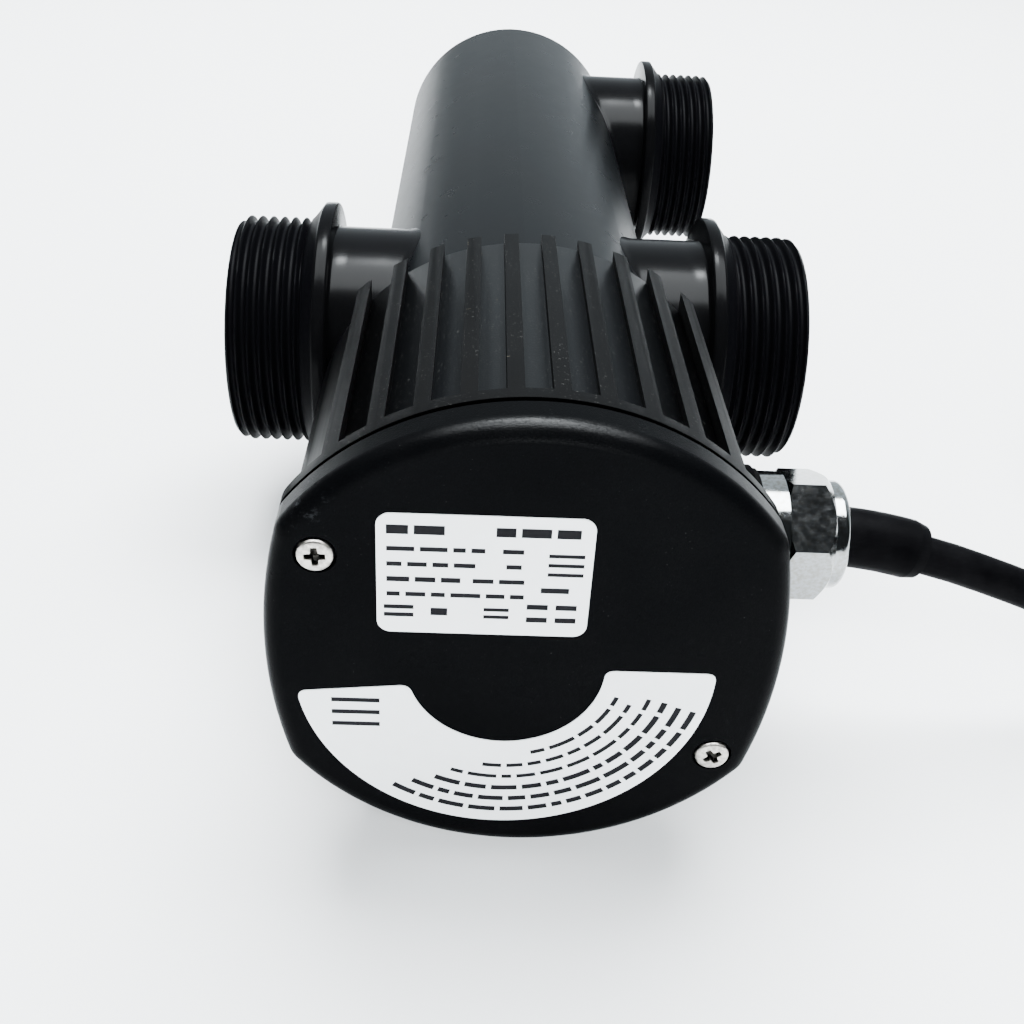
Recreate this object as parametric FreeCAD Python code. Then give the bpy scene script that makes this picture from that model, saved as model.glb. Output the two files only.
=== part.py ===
# In-line UV-C clarifier for ponds and aquaria: a finned lamp head screwed on to a tubular flow chamber.
# Millimetres. X runs through the hose ports, Y runs back along the chamber, Z is up.
# While a piece is built, y is counted from the cover's front face and z from the chamber's axis;
# save() then moves it to the row frame, whose origin is under the middle of the object.
import FreeCAD
import Part
import math
import os

V = FreeCAD.Vector
X_AXIS = V(1, 0, 0)
Y_AXIS = V(0, 1, 0)
Z_AXIS = V(0, 0, 1)

# ---- driving dimensions ----
HEAD_HALF_H = 39.7        # cover and flange, half height
HEAD_HALF_W = 38.4        # cover and flange, half width
TOP_ARC_R = 44.0          # radius of the outline's top and bottom
SIDE_ARC_R = 84.0         # radius of the outline's gently bowed sides
OUTLINE_CORNER_R = 5.0
COVER_T = 6.8
COVER_EDGE_R = 2.8
GASKET_T = 0.5
FLANGE_T = 3.0
HEAD_REAR_Y = 66.4
FIN_COUNT = 10
FIN_PITCH = 6.38
FIN_T = 2.45
CORE_R = 38.0             # floor of the slots between the fins
CAVITY_R = 31.5
REAR_WALL_T = 6.4
COVER_SCREW_X = 30.0
COVER_SCREW_Z = 18.0

TUBE_R = 30.8
BORE_R = 28.0
TUBE_END_Y = 261.0
END_WALL_T = 3.0
PORT_FRONT_Y = 106.9
PORT_REAR_Y = 238.45
PORT_END_X = 58.8
PORT_NECK_R = 22.4
PORT_BORE_R = 18.5
PORT_RELIEF_R = 19.2      # the bore widens a little where it opens into the chamber
PORT_RELIEF_X = 30.0
COLLAR_R = 27.3
COLLAR_X = (38.4, 41.1)
THREAD_CREST_R = 23.9     # G 1 1/2 pipe thread
THREAD_ROOT_R = 22.42
THREAD_PITCH = 2.309
THREAD_TURNS = 6
THREAD_FIRST_X = 45.2

SPIGOT_R = 27.95
SPIGOT_END_Y = 80.0
SPIGOT_BORE_R = 25.05
SLEEVE_R = 22.0
SLEEVE_WALL = 1.5
SLEEVE_END_Y = 222.0
HEAD_SEAL_T = 2.4

LAMP_PIN_X = 11.5         # a G23 cap has its pins 23 mm apart
LAMP_GLASS_L = 129.0

GLAND_Y = 35.5
GLAND_BORE_R = 5.4
CABLE_D = 6.9
CABLE_R = CABLE_D / 2

H = HEAD_HALF_H
Y_MIN = -0.5              # the cover screws' heads stand this far out
Y_MAX = PORT_REAR_Y + COLLAR_R
Y_MID = (Y_MIN + Y_MAX) / 2
FLANGE_Y = COVER_T + GASKET_T
FIN_Y = FLANGE_Y + FLANGE_T
REAR_WALL_Y = HEAD_REAR_Y - REAR_WALL_T
TUBE_FRONT_Y = HEAD_REAR_Y + 0.85
FLOOR = -H


def save(node, shape):
    """Moves a finished piece to the row frame and writes it."""
    placed = shape.copy()
    placed.translate(V(0, -Y_MID, H))
    if not placed.isValid():
        print("NOT VALID", node)
    if any(not solid.isClosed() for solid in placed.Solids) or not placed.Solids:
        print("NOT CLOSED", node)
    placed.exportStep("parts/" + node + ".step")
    print(node, "solids", len(placed.Solids), "volume", round(placed.Volume, 1))


def rod(r, start, axis, length):
    return Part.makeCylinder(r, length, V(*start), axis)


def pipe(outer, inner, start, axis, length):
    return rod(outer, start, axis, length).cut(rod(inner, start, axis, length))


def block(x, y, z):
    """A box from three (low, high) pairs."""
    return Part.makeBox(x[1] - x[0], y[1] - y[0], z[1] - z[0], V(x[0], y[0], z[0]))


def fuse(shapes):
    whole = shapes[0]
    for shape in shapes[1:]:
        whole = whole.fuse(shape)
    return whole.removeSplitter()


def group(shapes):
    return Part.makeCompound(shapes)


def turned(profile, start, axis):
    """Revolves (distance along the axis, radius) points; the axis is +X, -X or +Y."""
    side = Z_AXIS
    points = [V(*start) + axis * along + side * r for along, r in profile]
    face = Part.Face(Part.makePolygon(points + [points[0]]))
    return face.revolve(V(*start), axis, 360)


def outline_prism(inset, y0, y1):
    """The head's outline, a circle flattened top, bottom and sides, as a solid along Y."""
    length = y1 - y0
    top_c = TOP_ARC_R - HEAD_HALF_H
    side_c = SIDE_ARC_R - HEAD_HALF_W
    solid = rod(TOP_ARC_R - inset, (0, y0, -top_c), Y_AXIS, length)
    solid = solid.common(rod(TOP_ARC_R - inset, (0, y0, top_c), Y_AXIS, length))
    solid = solid.common(rod(SIDE_ARC_R - inset, (-side_c, y0, 0), Y_AXIS, length))
    solid = solid.common(rod(SIDE_ARC_R - inset, (side_c, y0, 0), Y_AXIS, length))
    corners = []
    for edge in solid.Edges:
        ends = [vertex.Point for vertex in edge.Vertexes]
        if len(ends) == 2 and abs(ends[0].y - ends[1].y) > length / 2:
            if abs(ends[0].x) > 20 and abs(ends[0].z) > 10:
                corners.append(edge)
    return solid.makeFillet(max(OUTLINE_CORNER_R - inset, 0.8), corners)


def fillet_where(shape, radius, test):
    return shape.makeFillet(radius, [edge for edge in shape.Edges if test(edge)])


def cord_tube(points, r, name):
    """A tube along straight runs joined by tangent arcs, as large as the runs allow."""
    points = [V(*p) for p in points]
    edges = []
    start = points[0]
    radii = []
    for before, corner, after in zip(points, points[1:], points[2:]):
        a = (before - corner).normalize()
        b = (after - corner).normalize()
        turn = math.pi - a.getAngle(b)
        cut = 0.45 * min((before - corner).Length, (after - corner).Length)
        radius = cut / math.tan(turn / 2)
        radii.append(radius)
        first = corner + a * cut
        last = corner + b * cut
        middle_way = (a + b).normalize()
        centre = corner + middle_way * math.hypot(cut, radius)
        middle = centre - middle_way * radius
        edges.append(Part.LineSegment(start, first).toShape())
        edges.append(Part.Arc(first, middle, last).toShape())
        start = last
    edges.append(Part.LineSegment(start, points[-1]).toShape())
    path = Part.Wire(edges)
    circle = Part.Circle(points[0], points[1] - points[0], r).toShape()
    tube = path.makePipeShell([Part.Wire([circle])], True, False)
    expected = math.pi * r * r * path.Length
    print(name, "length", round(path.Length, 1), "smallest radius", round(min(radii), 1),
          "volume", round(tube.Volume / expected, 4))
    return tube


# ---- cover, gasket, labels ----

def cover_screw_places():
    return [(-COVER_SCREW_X, COVER_SCREW_Z), (COVER_SCREW_X, -COVER_SCREW_Z)]


def front_cover():
    body = outline_prism(0, 0, COVER_T)
    body = fillet_where(body, COVER_EDGE_R, lambda e: e.BoundBox.YMax < 0.01)
    pocket = rod(CAVITY_R - 1, (0, 2.8, 0), Y_AXIS, COVER_T)
    body = body.cut(pocket)
    for x, z in cover_screw_places():
        body = body.cut(rod(3.05, (x, -1, z), Y_AXIS, 2.4))
        body = body.cut(rod(1.7, (x, 0, z), Y_AXIS, COVER_T + 1))
    return body


def cover_gasket():
    ring = outline_prism(0.9, COVER_T + 0.04, COVER_T + GASKET_T)
    ring = ring.cut(rod(CAVITY_R + 0.2, (0, COVER_T - 1, 0), Y_AXIS, 3))
    for x, z in cover_screw_places():
        ring = ring.cut(rod(1.7, (x, COVER_T - 1, z), Y_AXIS, 3))
    return ring


def cross_recess(x, z, y):
    """Two crossed slots in a screw's head."""
    slots = block((x - 1.7, x + 1.7), (y - 0.1, y + 1.1), (z - 0.35, z + 0.35))
    return slots.fuse(block((x - 0.35, x + 0.35), (y - 0.1, y + 1.1), (z - 1.7, z + 1.7)))


def cover_screw(x, z):
    head = rod(2.65, (x, -0.5, z), Y_AXIS, 1.9)
    head = fillet_where(head, 0.9, lambda e: e.BoundBox.YMax < -0.49)
    screw = head.fuse(rod(1.45, (x, 1.0, z), Y_AXIS, 18.0))
    return screw.removeSplitter().cut(cross_recess(x, z, -0.5))


LABEL_T = 0.15


def rating_label():
    sheet = block((-21.6, 8.4), (-LABEL_T, 0), (5.0, 25.5))
    return fillet_where(sheet, 2.0, lambda e: e.BoundBox.YLength > 0.9 * LABEL_T and e.Length < 1)


def lower_label():
    """A ring sector that follows the lower half of the cover."""
    ring = pipe(32.4, 14.7, (-2.8, -LABEL_T, -1.3), Y_AXIS, LABEL_T)
    right_end = block((-2.8, 40), (-1, 1), (-1.4, 40))
    left_end = block((-50, 10), (-1, 1), (0, 60))
    left_end.rotate(V(0, 0, 0), Y_AXIS, -5.8)
    left_end.translate(V(0, 0, -3.5))
    sheet = ring.cut(right_end.fuse(left_end))
    return fillet_where(sheet, 1.5, lambda e: e.BoundBox.YLength > 0.9 * LABEL_T and e.Length < 1)


# ---- finned head ----

def fin_region():
    """The fins' full shape before the slots are cut: the outline behind the flange."""
    body = outline_prism(0, FIN_Y, HEAD_REAR_Y)
    tall = 2 * HEAD_HALF_H
    for i in range(1, FIN_COUNT):
        x = (i - FIN_COUNT / 2) * FIN_PITCH
        half = (FIN_PITCH - FIN_T) / 2
        slot = block((x - half, x + half), (FIN_Y, HEAD_REAR_Y + 1), (-tall, tall))
        body = body.cut(slot)
    return body


def head_housing():
    outer_x = (FIN_COUNT - 1) / 2 * FIN_PITCH + FIN_T / 2
    fins = fin_region().common(block((-outer_x, outer_x), (0, 100), (-60, 60)))
    core = rod(CORE_R, (0, FIN_Y, 0), Y_AXIS, HEAD_REAR_Y - FIN_Y)
    flange = outline_prism(0, FLANGE_Y, FIN_Y)
    spigot = rod(SPIGOT_R, (0, HEAD_REAR_Y - 1, 0), Y_AXIS, SPIGOT_END_Y - HEAD_REAR_Y + 1)
    boss = rod(11.5, (26, GLAND_Y, 0), X_AXIS, GLAND_SEAT_X - 26)
    body = fuse([core, fins, flange, spigot, boss])
    body = body.cut(rod(CAVITY_R, (0, 0, 0), Y_AXIS, REAR_WALL_Y))
    body = body.cut(rod(20.0, (0, 50, 0), Y_AXIS, 20))
    body = body.cut(rod(SLEEVE_R + 0.1, (0, REAR_WALL_Y + 2.5, 0), Y_AXIS, 30))
    body = body.cut(rod(SPIGOT_BORE_R, (0, HEAD_REAR_Y + 1.2, 0), Y_AXIS, 30))
    seal_groove = pipe(31.2, 28.2, (0, HEAD_REAR_Y - 1.6, 0), Y_AXIS, 5)
    body = body.cut(seal_groove)
    body = body.cut(rod(8.0, (25, GLAND_Y, 0), X_AXIS, 20))
    for x, z in cover_screw_places():
        body = body.cut(rod(1.5, (x, 5, z), Y_AXIS, 14.2))
    for side in (-1, 1):
        post = rod(3.4, (side * 22.2, HOLDER_Y[1], 0), Y_AXIS, REAR_WALL_Y - HOLDER_Y[1] + 1)
        rail = block((17.0, 30.0), (12, REAR_WALL_Y + 1), (BOARD_Z - 2.7, BOARD_Z))
        if side < 0:
            rail = rail.mirror(V(0, 0, 0), X_AXIS)
        body = body.fuse(post.fuse(rail.common(core)))
        body = body.cut(rod(1.45, (side * 22.2, HOLDER_Y[1] - 1, 0), Y_AXIS, 11.2))
        body = body.cut(rod(1.2, (side * BOARD_SCREW_X, 18, BOARD_Z - 2.4), Z_AXIS, 5))
    foot = block((-13, 13), (TERMINAL_Y[0], TERMINAL_Y[1]), (-34, TERMINAL_Z[0])).common(core)
    earth_pad = rod(4.0, (EARTH_X, REAR_WALL_Y - 2, EARTH_Z), Y_AXIS, 3)
    body = body.fuse(foot).fuse(earth_pad)
    body = body.cut(rod(1.45, (EARTH_X, REAR_WALL_Y - 3, EARTH_Z), Y_AXIS, 7))
    return body.removeSplitter()


# ---- electrical pieces inside the head ----
HOLDER_Y = (24.0, 46.0)
BOARD_Z = 15.0
BOARD_SCREW_X = 19.4
TERMINAL_Y = (20.0, 50.0)
TERMINAL_Z = (-25.0, -15.5)
EARTH_X = 15.5
EARTH_Z = -19.0


def lamp_holder():
    body = block((-18, 18), (HOLDER_Y[0], HOLDER_Y[1] - 2), (-12, 12))
    plate = block((-26, 26), (HOLDER_Y[1] - 2, HOLDER_Y[1]), (-6, 6))
    body = body.fuse(plate.fuse(block((-18, 18), (HOLDER_Y[1] - 2, HOLDER_Y[1]), (-12, 12))))
    body = body.cut(block((-6.8, 6.8), (25.5, 50), (-4.8, 4.8)))
    for side in (-1, 1):
        body = body.cut(rod(1.35, (side * LAMP_PIN_X, 38.5, 0), Y_AXIS, 10))
        body = body.cut(rod(1.65, (side * 22.2, 40, 0), Y_AXIS, 10))
    return body.removeSplitter()


def holder_screw(x):
    screw = rod(2.7, (x, HOLDER_Y[1] - 3.9, 0), Y_AXIS, 1.9)
    return screw.fuse(rod(1.45, (x, HOLDER_Y[1] - 2.5, 0), Y_AXIS, 12)).removeSplitter()


def lamp_base():
    cap = block((-16.2, 16.2), (46.2, 64.0), (-9.8, 9.8))
    cap = fillet_where(cap, 3.0, lambda e: e.BoundBox.YLength > 15)
    post = block((-6.4, 6.4), (26.2, 46.2), (-4.4, 4.4))
    return cap.fuse(post).removeSplitter()


def lamp_pins():
    pins = []
    for side in (-1, 1):
        pins.append(rod(1.2, (side * LAMP_PIN_X, 39.4, 0), Y_AXIS, 6.8))
    return group(pins)


def lamp_glass():
    r = 6.1
    x = 7.6
    limbs = []
    for side in (-1, 1):
        limb = rod(r, (side * x, 64.0, 0), Y_AXIS, LAMP_GLASS_L - r)
        tip = Part.makeSphere(r, V(side * x, 64.0 + LAMP_GLASS_L - r, 0))
        limbs.append(limb.fuse(tip))
    bridge = rod(3.6, (-x, 64.0 + LAMP_GLASS_L - 13, 0), X_AXIS, 2 * x)
    return fuse(limbs + [bridge])


def ballast_board():
    board = block((-23.4, 23.4), (14, 56), (BOARD_Z, BOARD_Z + 1.6))
    for side in (-1, 1):
        board = board.cut(rod(1.4, (side * BOARD_SCREW_X, 18, 0), Z_AXIS, 40))
    return board


def board_screw(x):
    z = BOARD_Z + 1.6
    screw = rod(1.9, (x, 18, z), Z_AXIS, 1.4).fuse(rod(1.2, (x, 18, z - 3.9), Z_AXIS, 4.4))
    return screw.removeSplitter()


def choke_core():
    z = BOARD_Z + 1.6
    core = block((-2, 12), (30, 50), (z, z + 9.4))
    for y in (33.5, 42.5):
        core = core.cut(block((-3, 13), (y, y + 4.0), (z + 1.8, z + 7.6)))
    return core


def choke_winding():
    z = BOARD_Z + 1.6
    coil = block((-4.5, 14.5), (33.6, 46.4), (z + 1.9, z + 7.5))
    return coil.cut(block((-2.05, 12.05), (37.4, 42.6), (z, z + 9)))


def capacitor():
    z = BOARD_Z + 1.6
    can = rod(4.0, (-12.6, 24, z + 4.0), Y_AXIS, 16)
    return fillet_where(can, 0.6, lambda e: e.Curve.TypeId == "Part::GeomCircle")


def terminal_block():
    body = block((-12.5, 12.5), TERMINAL_Y, TERMINAL_Z)
    for i in range(3):
        y = TERMINAL_Y[0] + 5 + i * 10
        body = body.cut(rod(1.6, (6.5, y, -20.0), X_AXIS, 10))
        body = body.cut(rod(2.0, (8.0, y, -17.4), Z_AXIS, 5))
    return body


def terminal_screw(i):
    y = TERMINAL_Y[0] + 5 + i * 10
    return rod(1.9, (8.0, y, -17.3), Z_AXIS, 1.5)


def earth_tag():
    y = REAR_WALL_Y - 2.9
    ring = pipe(3.2, 1.6, (EARTH_X, y, EARTH_Z), Y_AXIS, 0.9)
    barrel = block((EARTH_X + 2.4, EARTH_X + 6.4), (y, y + 0.9), (EARTH_Z + 1.0, EARTH_Z + 3.4))
    return ring.fuse(barrel).removeSplitter()


def earth_screw():
    y = REAR_WALL_Y - 2.9
    head = rod(2.8, (EARTH_X, y - 2.0, EARTH_Z), Y_AXIS, 2.0)
    return head.fuse(rod(1.45, (EARTH_X, y - 1, EARTH_Z), Y_AXIS, 6)).removeSplitter()


CORE_WIRE_R = 1.2


def mains_core(y0, z0, y1, name):
    """One insulated conductor from the end of the cable's jacket to the terminal block."""
    points = [
        (34.0, y0, z0),
        (25.5, y0 + 0.2 * (y1 - y0), z0 - 1.5),
        (22.0, y0 + 0.55 * (y1 - y0), -11.0),
        (17.5, y1, -20.0),
        (8.5, y1, -20.0),
    ]
    return cord_tube(points, CORE_WIRE_R, name)


def earth_core():
    points = [
        (34.0, GLAND_Y + 1.3, 0.75),
        (25.5, GLAND_Y + 3.1, -1.5),
        (22.5, GLAND_Y + 9.5, -12.0),
        (EARTH_X + 4.4, REAR_WALL_Y - 2.9, EARTH_Z + 2.2),
    ]
    return cord_tube(points, CORE_WIRE_R, "lead_earth")


def lamp_lead(side):
    points = [
        (side * 8.0, HOLDER_Y[0], 6.0),
        (side * 8.0, 18.8, 6.0),
        (side * 8.0, 16.4, 10.0),
        (side * 8.0, 16.4, BOARD_Z),
    ]
    return cord_tube(points, 0.9, "lamp lead")


# ---- chamber ----

def chamber_space():
    return rod(BORE_R, (0, 60, 0), Y_AXIS, TUBE_END_Y - END_WALL_T - 60)


def port_axis(side):
    return X_AXIS * side


def chamber_tube():
    body = rod(TUBE_R, (0, TUBE_FRONT_Y, 0), Y_AXIS, TUBE_END_Y - TUBE_FRONT_Y)
    body = fillet_where(body, 2.5, lambda e: e.BoundBox.YMin > TUBE_END_Y - 0.1)
    body = body.cut(chamber_space())
    for side, y in PORTS.values():
        body = body.cut(rod(PORT_NECK_R, (side * 15, y, 0), port_axis(side), 30))
    return body


def port_profile():
    """Distance out from the chamber's axis and radius: neck, collar, ring threads, lead-in."""
    points = [(15, PORT_RELIEF_R), (15, PORT_NECK_R), (COLLAR_X[0], PORT_NECK_R)]
    points += [(COLLAR_X[0], COLLAR_R - 0.5), (COLLAR_X[0] + 0.5, COLLAR_R)]
    points += [(COLLAR_X[1] - 0.4, COLLAR_R), (COLLAR_X[1], COLLAR_R - 0.4)]
    points += [(COLLAR_X[1] + 2.4, THREAD_CREST_R), (THREAD_FIRST_X - 1.4, THREAD_CREST_R - 0.3)]
    points += [(THREAD_FIRST_X - 0.95, THREAD_ROOT_R)]
    for i in range(THREAD_TURNS):
        x = THREAD_FIRST_X + i * THREAD_PITCH
        if i > 0:
            points += [(x - 0.95, THREAD_ROOT_R)]
        points += [(x - 0.2, THREAD_CREST_R)]
        points += [(x + 0.2, THREAD_CREST_R), (x + 0.95, THREAD_ROOT_R)]
    points += [(PORT_END_X - 0.7, THREAD_ROOT_R), (PORT_END_X, THREAD_ROOT_R - 0.7)]
    points += [(PORT_END_X, PORT_BORE_R), (PORT_RELIEF_X, PORT_BORE_R), (PORT_RELIEF_X, PORT_RELIEF_R)]
    return points


def port(side, y):
    return turned(port_profile(), (0, y, 0), port_axis(side)).cut(chamber_space())


PORTS = {
    "port_front_left": (-1, PORT_FRONT_Y),
    "port_front_right": (1, PORT_FRONT_Y),
    "port_rear_right": (1, PORT_REAR_Y),
}


def housing_o_ring():
    return Part.makeTorus(29.6, HEAD_SEAL_T / 2, V(0, HEAD_REAR_Y - 0.4, 0), Y_AXIS)


def quartz_sleeve():
    y0 = REAR_WALL_Y + 2.6
    straight = SLEEVE_END_Y - SLEEVE_R - y0
    inner = SLEEVE_R - SLEEVE_WALL
    outside = rod(SLEEVE_R, (0, y0, 0), Y_AXIS, straight)
    outside = outside.fuse(Part.makeSphere(SLEEVE_R, V(0, y0 + straight, 0)))
    inside = rod(inner, (0, y0 - 1, 0), Y_AXIS, straight + 1)
    inside = inside.fuse(Part.makeSphere(inner, V(0, y0 + straight, 0)))
    front = block((-40, 40), (0, y0), (-40, 40))
    return outside.cut(inside).cut(front)


def quartz_o_ring():
    return Part.makeTorus(23.53, 1.45, V(0, HEAD_REAR_Y + 3.0, 0), Y_AXIS)


def quartz_nut():
    y0 = HEAD_REAR_Y + 4.6
    ring = rod(SPIGOT_BORE_R - 0.05, (0, y0, 0), Y_AXIS, SPIGOT_END_Y - y0 + 0.6)
    grip = rod(26.0, (0, SPIGOT_END_Y + 0.5, 0), Y_AXIS, 4.5)
    for i in range(12):
        angle = 2 * math.pi * i / 12
        notch = (27.0 * math.cos(angle), SPIGOT_END_Y, 27.0 * math.sin(angle))
        grip = grip.cut(rod(1.9, notch, Y_AXIS, 6))
    whole = ring.fuse(grip).removeSplitter()
    return whole.cut(rod(SLEEVE_R + 0.08, (0, 60, 0), Y_AXIS, 40))


# ---- cable gland ----
GLAND_SEAT_X = 38.4
NUT_X = (43.8, 51.5)
NUT_FLATS = 20.0
NUT_TURN = 11.5           # degrees that a corner of the hexagon stands off vertical
NUT_MOUTH_R = 6.0


def gland_washer():
    return pipe(10.9, 8.1, (GLAND_SEAT_X, GLAND_Y, 0), X_AXIS, 1.0)


def gland_body():
    shank = rod(7.95, (GLAND_SEAT_X - 8.4, GLAND_Y, 0), X_AXIS, 9.6)
    collar = rod(10.5, (GLAND_SEAT_X + 1.0, GLAND_Y, 0), X_AXIS, 4.3)
    sleeve = rod(8.45, (GLAND_SEAT_X + 5, GLAND_Y, 0), X_AXIS, 6.6)
    body = fuse([shank, collar, sleeve])
    body = body.cut(rod(4.6, (20, GLAND_Y, 0), X_AXIS, 40))
    body = body.cut(rod(GLAND_BORE_R, (42.0, GLAND_Y, 0), X_AXIS, 20))
    return body.cut(rod(7.0, (44.6, GLAND_Y, 0), X_AXIS, 20))


def gland_seal():
    return pipe(6.9, BOOT_R + 0.02, (44.7, GLAND_Y, 0), X_AXIS, 5.3)


def gland_slip_ring():
    return pipe(8.3, NUT_MOUTH_R, (50.1, GLAND_Y, 0), X_AXIS, 0.9)


def gland_nut():
    corner_r = NUT_FLATS / math.sqrt(3)
    points = []
    for i in range(7):
        angle = math.radians(60 * i + 90 + NUT_TURN)
        points.append(V(NUT_X[0], GLAND_Y + corner_r * math.cos(angle), corner_r * math.sin(angle)))
    hexagon = Part.Face(Part.makePolygon(points)).extrude(V(NUT_X[1] - NUT_X[0], 0, 0))
    chamfer = turned([(0, 0), (0, 10.6), (1.0, 12), (5.6, 12), (7.7, 9.9), (7.7, 0)],
                     (NUT_X[0], GLAND_Y, 0), X_AXIS)
    dome = rod(9.3, (NUT_X[1] - 1, GLAND_Y, 0), X_AXIS, 3.8)
    dome = fillet_where(dome, 1.3, lambda e: e.BoundBox.XMin > NUT_X[1] + 2.7)
    body = hexagon.common(chamfer).fuse(dome).removeSplitter()
    body = body.cut(rod(8.5, (NUT_X[0] - 1, GLAND_Y, 0), X_AXIS, 8.3))
    return body.cut(rod(NUT_MOUTH_R, (NUT_X[0] - 1, GLAND_Y, 0), X_AXIS, 20))


# ---- mains cable ----
BOOT_R = 5.2
BOOT_TIP_R = 4.75
COIL_X = 190.0
COIL_Y = 95.0
COIL_MID_R = 38.0
COIL_COLUMNS = 6
COIL_LAYERS = 2
COIL_LIFT = 0.8
PLUG_X = 236.5
PLUG_Y = 146.0
PLUG_Z = FLOOR + 19.0
LYING_Z = FLOOR + CABLE_R + 0.1
COIL_TOP_Z = FLOOR + COIL_LIFT + COIL_LAYERS * CABLE_D
COIL_OUTER_TURN_X = COIL_X + COIL_MID_R + CABLE_D * (COIL_COLUMNS - 1) / 2

LEAD_ROUTE = [
    (34.0, GLAND_Y, 0.0),
    (60.0, GLAND_Y, 0.0),
    (92.0, GLAND_Y, -10.7),
    (121.0, 36.0, -24.5),
    (148.0, 37.5, -33.6),
    (170.0, 40.0, LYING_Z + COIL_LIFT),
]
TAIL_ROUTE = [
    (COIL_OUTER_TURN_X, COIL_Y + 4, COIL_TOP_Z - CABLE_R),
    (COIL_OUTER_TURN_X + 0.4, COIL_Y + 26, COIL_TOP_Z - CABLE_R + 0.3),
    (PLUG_X, PLUG_Y, PLUG_Z),
]


def cable_boot():
    """A moulded sleeve on the cable, straight through the gland and then drooping with it."""
    corner = V(*LEAD_ROUTE[1])
    start = V(42.2, GLAND_Y, 0)
    out = (V(*LEAD_ROUTE[2]) - corner).normalize()
    cut = 0.45 * (corner - V(*LEAD_ROUTE[0])).Length
    turn = X_AXIS.getAngle(out)
    radius = cut / math.tan(turn / 2)
    first = V(corner.x - cut, GLAND_Y, 0)
    stop = 0.82 * turn
    centre = first - Z_AXIS * radius
    middle = centre + V(radius * math.sin(stop / 2), 0, radius * math.cos(stop / 2))
    last = centre + V(radius * math.sin(stop), 0, radius * math.cos(stop))
    straight = Part.LineSegment(start, first).toShape()
    bend = Part.Arc(first, middle, last).toShape()
    along = V(math.cos(stop), 0, -math.sin(stop))
    path = Part.Wire([straight, bend])
    wide = Part.Wire([Part.Circle(start, X_AXIS, BOOT_R).toShape()])
    body = path.makePipeShell([wide], True, False)
    tip = Part.makeCone(BOOT_R, BOOT_TIP_R, 2.0, last, along)
    bore_edges = [straight, bend, Part.LineSegment(last, last + along * 3).toShape()]
    ring = Part.Wire([Part.Circle(start, X_AXIS, CABLE_R + 0.02).toShape()])
    bore = Part.Wire(bore_edges).makePipeShell([ring], True, False)
    return body.fuse(tip).removeSplitter().cut(bore)


def cable_coil():
    """Outer shape of the wound part of the cable, which is tied for storage."""
    wide = COIL_COLUMNS * CABLE_D
    low = FLOOR + COIL_LIFT
    ring = Part.makeCylinder(COIL_MID_R + wide / 2, COIL_LAYERS * CABLE_D, V(COIL_X, COIL_Y, low))
    hole = Part.makeCylinder(COIL_MID_R - wide / 2, 60, V(COIL_X, COIL_Y, low - 5))
    return fillet_where(ring.cut(hole), 3.0, lambda e: e.Curve.TypeId == "Part::GeomCircle")


def cable_tie():
    wide = COIL_COLUMNS * CABLE_D
    x = COIL_X - COIL_MID_R
    low = FLOOR + 0.05
    high = COIL_TOP_Z + 0.75
    outer = block((x - wide / 2 - 0.8, x + wide / 2 + 0.8), (COIL_Y - 4, COIL_Y + 4), (low, high))
    inner = block((x - wide / 2 - 0.1, x + wide / 2 + 0.4), (COIL_Y - 5, COIL_Y + 5),
                  (low + 0.7, high - 0.7))
    return outer.cut(inner)


def plug_body():
    """Earthed plug with a round face and a tapered, ribbed tail."""
    profile = [(0, 0), (0, 5.6), (22, 7.6), (26, 13.0), (34, 18.6), (54, 19.0), (54, 0)]
    body = turned(profile, (PLUG_X, PLUG_Y, PLUG_Z), Y_AXIS)
    for side in (-1, 1):
        x = PLUG_X + side * 19.0
        body = body.cut(block((x - 1.6, x + 1.6), (PLUG_Y + 36, PLUG_Y + 56),
                              (PLUG_Z - 3, PLUG_Z + 3)))
    socket = rod(2.4, (PLUG_X, PLUG_Y + 38, PLUG_Z + 9.5), Y_AXIS, 20)
    body = body.cut(socket)
    return body.cut(rod(CABLE_R, (PLUG_X, PLUG_Y - 1, PLUG_Z), Y_AXIS, 5))


def plug_pin(side):
    pin = rod(2.4, (PLUG_X + side * 9.5, PLUG_Y + 54, PLUG_Z), Y_AXIS, 19)
    return fillet_where(pin, 1.2, lambda e: e.BoundBox.YMin > PLUG_Y + 72)


def plug_earth_strip(side):
    x = PLUG_X + side * 18.0
    return block((x - 0.55, x + 0.55), (PLUG_Y + 36.1, PLUG_Y + 54), (PLUG_Z - 2.9, PLUG_Z + 2.9))


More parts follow.
